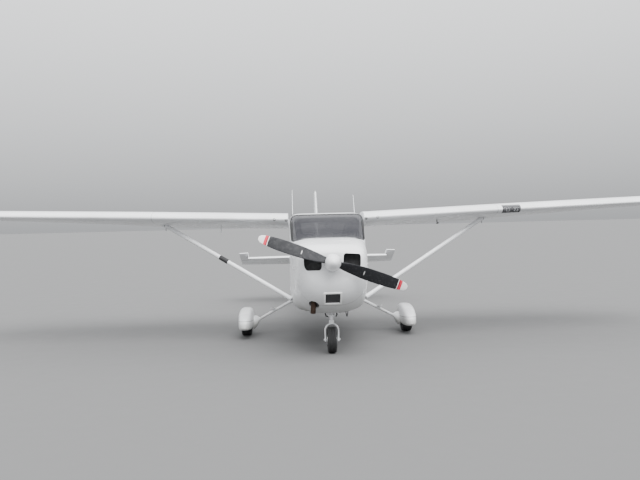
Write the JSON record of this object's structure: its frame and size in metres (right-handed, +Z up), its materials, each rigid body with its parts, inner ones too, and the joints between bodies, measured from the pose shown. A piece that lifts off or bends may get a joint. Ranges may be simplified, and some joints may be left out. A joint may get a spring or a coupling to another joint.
{
  "type": "light aircraft",
  "caption": "Single-engine, strut-braced high-wing light aircraft with fixed tricycle gear, faired main wheels, hinged doors and moving control surfaces, parked on its wheels.",
  "frame": {"origin": "on the ground below the middle of the aircraft's overall box", "axes": "+X to the aircraft's left, along the wing; -Y towards its nose; +Z up"},
  "size_m": [11.01, 8.3774, 2.4907],
  "materials": {
    "white_paint": "gloss white paint over metal",
    "white_sheet": "gloss white paint over riveted aluminium sheet",
    "white_composite": "gloss white paint over composite",
    "cabin_glass": "clear acrylic with a grey cast",
    "lamp_glass": "clear lamp cover",
    "blade_black": "matt black paint, white tips with red bands",
    "tyre": "black rubber, dusty",
    "wheel_metal": "cast aluminium, painted white",
    "seat_fabric": "grey woven upholstery",
    "dark_plastic": "dark grey, matt",
    "engine_iron": "dull dark metal",
    "rusty_steel": "heat-browned steel",
    "bare_steel": "bare metal",
    "black_plastic": "black plastic"
  },
  "bodies": {
    "root": {"cowling": "white_paint", "grille": "bare_steel", "engine_block": "engine_iron", "firewall": "bare_steel", "cabin_shell": "white_paint", "windscreen": "cabin_glass", "back_window": "cabin_glass", "side_window_left": "cabin_glass", "side_window_right": "cabin_glass", "wing_left": "white_sheet", "wing_right": "white_sheet", "strut_left": "white_paint", "strut_right": "white_paint", "landing_light": "lamp_glass", "tail_cone": "white_sheet", "fin": "white_sheet", "stabiliser_left": "white_sheet", "stabiliser_right": "white_sheet", "instrument_panel": "dark_plastic", "seat_left": "seat_fabric", "seat_right": "seat_fabric", "rear_bench": "seat_fabric", "exhaust_pipe": "rusty_steel", "aerial_left": "black_plastic", "aerial_right": "black_plastic", "gear_leg_left": "white_paint", "gear_leg_right": "white_paint", "wheel_fairing_left": "white_composite", "wheel_fairing_right": "white_composite", "nose_oleo": "bare_steel"},
    "propeller": {"propeller": "blade_black", "spinner": "white_sheet"},
    "nose_fork": {"nose_fork": "white_paint"},
    "nose_wheel": {"nose_tyre": "tyre", "nose_hub": "wheel_metal"},
    "main_wheel_left": {"main_tyre_left": "tyre", "main_hub_left": "wheel_metal"},
    "main_wheel_right": {"main_tyre_right": "tyre", "main_hub_right": "wheel_metal"},
    "door_left": {"door_left": "white_paint", "door_window_left": "cabin_glass"},
    "door_right": {"door_right": "white_paint", "door_window_right": "cabin_glass"},
    "flap_left": {"flap_left": "white_sheet"},
    "flap_right": {"flap_right": "white_sheet"},
    "aileron_left": {"aileron_left": "white_sheet"},
    "aileron_right": {"aileron_right": "white_sheet"},
    "elevator": {"elevator_left": "white_sheet", "elevator_tube": "bare_steel", "elevator_right": "white_sheet"},
    "trim_tab": {"trim_tab": "white_sheet"},
    "rudder": {"rudder": "white_sheet"}
  },
  "joints": [
    {"name": "propeller_spin", "type": "hinge", "parent": "root", "child": "propeller", "pos_m": [0, -3.98322, 1.23801], "axis": [0, -0.9976, 0.0698], "continuous": true},
    {"name": "nose_steer", "type": "hinge", "parent": "root", "child": "nose_fork", "pos_m": [0, -3.25353, 0.176], "axis": [0, 0.0698, 0.9976], "range_deg": [-30, 30]},
    {"name": "nose_wheel_spin", "type": "hinge", "parent": "nose_fork", "child": "nose_wheel", "pos_m": [0, -3.25353, 0.176], "axis": [1, 0, 0], "continuous": true},
    {"name": "main_wheel_left_spin", "type": "hinge", "parent": "root", "child": "main_wheel_left", "pos_m": [1.25, -1.59647, 0.205], "axis": [1, 0, 0], "continuous": true},
    {"name": "main_wheel_right_spin", "type": "hinge", "parent": "root", "child": "main_wheel_right", "pos_m": [-1.25, -1.59647, 0.205], "axis": [1, 0, 0], "continuous": true},
    {"name": "door_left_hinge", "type": "hinge", "parent": "root", "child": "door_left", "pos_m": [0.54, -2.44698, 1.13059], "axis": [0, -0.0698, -0.9976], "range_deg": [0, 65]},
    {"name": "door_right_hinge", "type": "hinge", "parent": "root", "child": "door_right", "pos_m": [-0.54, -2.44698, 1.13059], "axis": [0, 0.0698, 0.9976], "range_deg": [0, 65]},
    {"name": "flap_left_hinge", "type": "hinge", "parent": "root", "child": "flap_left", "pos_m": [0.585, -1.14586, 1.67691], "axis": [-0.9994, -0.0023, -0.0351], "range_deg": [0, 30]},
    {"name": "flap_right_hinge", "type": "hinge", "parent": "root", "child": "flap_right", "pos_m": [-0.585, -1.14586, 1.67691], "axis": [-0.9994, 0.0023, 0.0351], "range_deg": [0, 30]},
    {"name": "aileron_left_hinge", "type": "hinge", "parent": "root", "child": "aileron_left", "pos_m": [2.565, -1.05832, 1.77651], "axis": [0.9953, -0.0744, 0.0618], "range_deg": [-15, 20]},
    {"name": "aileron_right_hinge", "type": "hinge", "parent": "root", "child": "aileron_right", "pos_m": [-2.565, -1.05832, 1.77651], "axis": [0.9953, 0.0744, -0.0618], "range_deg": [-15, 20]},
    {"name": "elevator_hinge", "type": "hinge", "parent": "root", "child": "elevator", "pos_m": [0, 3.15009, 0.96475], "axis": [1, 0, 0], "range_deg": [-6, 44]},
    {"name": "trim_tab_hinge", "type": "hinge", "parent": "elevator", "child": "trim_tab", "pos_m": [-0.63, 3.48838, 0.84162], "axis": [1, 0, 0], "range_deg": [-19, 22]},
    {"name": "rudder_hinge", "type": "hinge", "parent": "root", "child": "rudder", "pos_m": [0, 3.14497, 0.71951], "axis": [0, 0.3495, 0.937], "range_deg": [-17.7, 17.7]}
  ],
  "couplings": [
    {"joint": "flap_right_hinge", "follows": "flap_left_hinge", "ratio": 1},
    {"joint": "aileron_right_hinge", "follows": "aileron_left_hinge", "ratio": -0.75}
  ]
}
